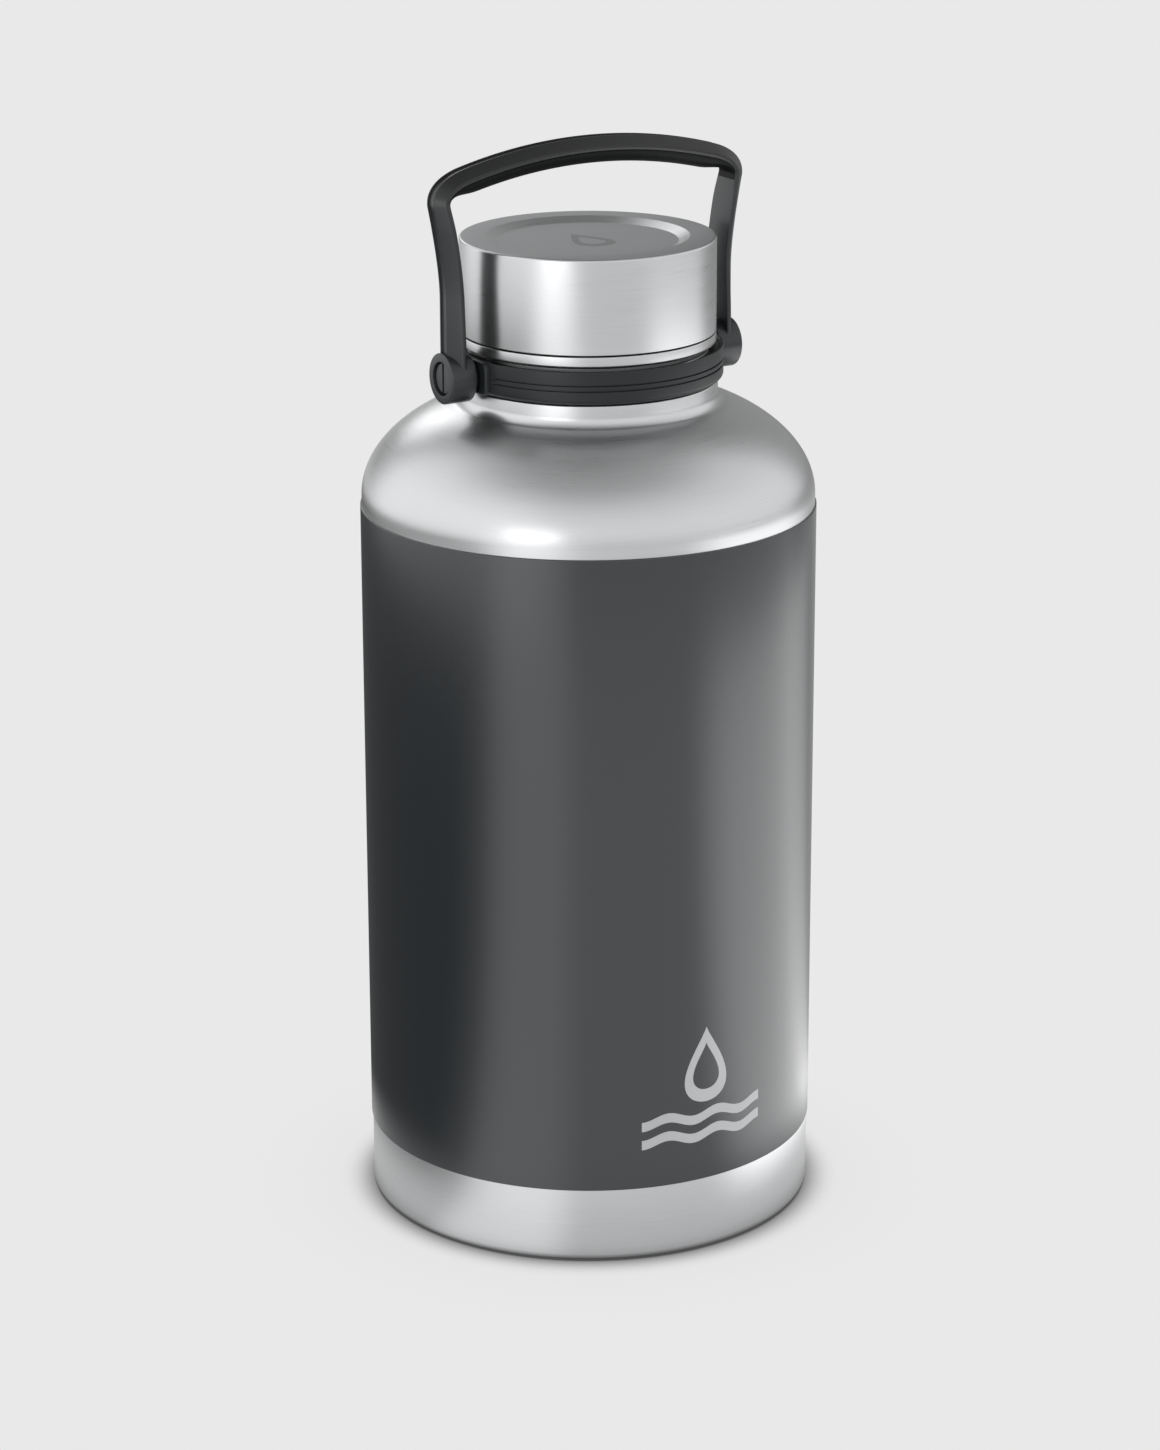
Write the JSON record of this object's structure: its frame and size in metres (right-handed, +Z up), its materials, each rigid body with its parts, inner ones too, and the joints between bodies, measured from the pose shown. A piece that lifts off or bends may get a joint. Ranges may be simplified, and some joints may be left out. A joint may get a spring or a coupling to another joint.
{
  "type": "insulated growler bottle",
  "caption": "Double-walled steel growler with coated body, domed shoulder, swinging carry handle, screw-in pouring spout and screw cap.",
  "frame": {"origin": "centre of the base ring, on the surface the growler stands on", "axes": "+Z up along the bottle's axis; the handle pivots about a line along X, so its arms are on the +X and -X sides"},
  "size_m": [0.118, 0.118, 0.2833],
  "materials": {
    "brushed_steel": "brushed round the axis",
    "inner_steel": "electropolished",
    "base_steel": "pressed, matt",
    "slate_coat": "satin powder coat",
    "black_nylon": "glass-filled nylon, moulded satin",
    "soft_grip": "soft elastomer, satin",
    "screw_steel": "black oxide",
    "washer_acetal": "acetal",
    "insert_brass": "turned",
    "spout_polypropylene": "moulded polypropylene",
    "gasket_silicone": "matt silicone",
    "copper_foil": "thin copper foil",
    "cap_foam": "closed-cell foam",
    "seal_glass": "solder glass",
    "getter_metal": "sintered"
  },
  "bodies": {
    "bottle": {"outer_shell": "brushed_steel", "powder_coat": "slate_coat", "inner_vessel": "inner_steel", "radiation_foil": "copper_foil", "outer_base": "base_steel", "vacuum_seal": "seal_glass", "base_cover_disc": "base_steel", "getter_pellet": "getter_metal", "handle_collar": "black_nylon", "thread_insert_right": "insert_brass", "thread_insert_left": "insert_brass", "pivot_washer_right": "washer_acetal", "pivot_washer_left": "washer_acetal", "pivot_screw_right": "screw_steel", "pivot_screw_left": "screw_steel"},
    "handle": {"handle_frame": "black_nylon", "handle_grip": "soft_grip"},
    "spout_seal": {"mouth_gasket": "gasket_silicone"},
    "spout": {"spout_adaptor": "spout_polypropylene", "spout_trim_ring": "brushed_steel"},
    "cap_seal": {"cap_gasket": "gasket_silicone"},
    "cap": {"cap_shell": "brushed_steel", "cap_core": "spout_polypropylene", "cap_insulation": "cap_foam", "cap_liner_disc": "inner_steel"}
  },
  "joints": [
    {"name": "handle_swing", "type": "hinge", "parent": "bottle", "child": "handle", "pos_m": [0, 0, 0.2258], "axis": [1, 0, 0], "range_deg": [-105, 105]},
    {"name": "spout_lift", "type": "slide", "parent": "bottle", "child": "spout_seal", "axis": [0, 0, 1], "range_m": [0, 0.00626]},
    {"name": "spout_turn", "type": "hinge", "parent": "spout_seal", "child": "spout", "pos_m": [0, 0, 0.2314], "axis": [0, 0, 1], "range_deg": [0, 450]},
    {"name": "cap_lift", "type": "slide", "parent": "spout", "child": "cap_seal", "axis": [0, 0, 1], "range_m": [0, 0.00626]},
    {"name": "cap_turn", "type": "hinge", "parent": "cap_seal", "child": "cap", "pos_m": [0, 0, 0.234], "axis": [0, 0, 1], "range_deg": [0, 450]}
  ],
  "couplings": [
    {"joint": "spout_lift", "follows": "spout_turn", "m_per_rad": 0.00079577},
    {"joint": "cap_lift", "follows": "cap_turn", "m_per_rad": 0.00079577}
  ]
}
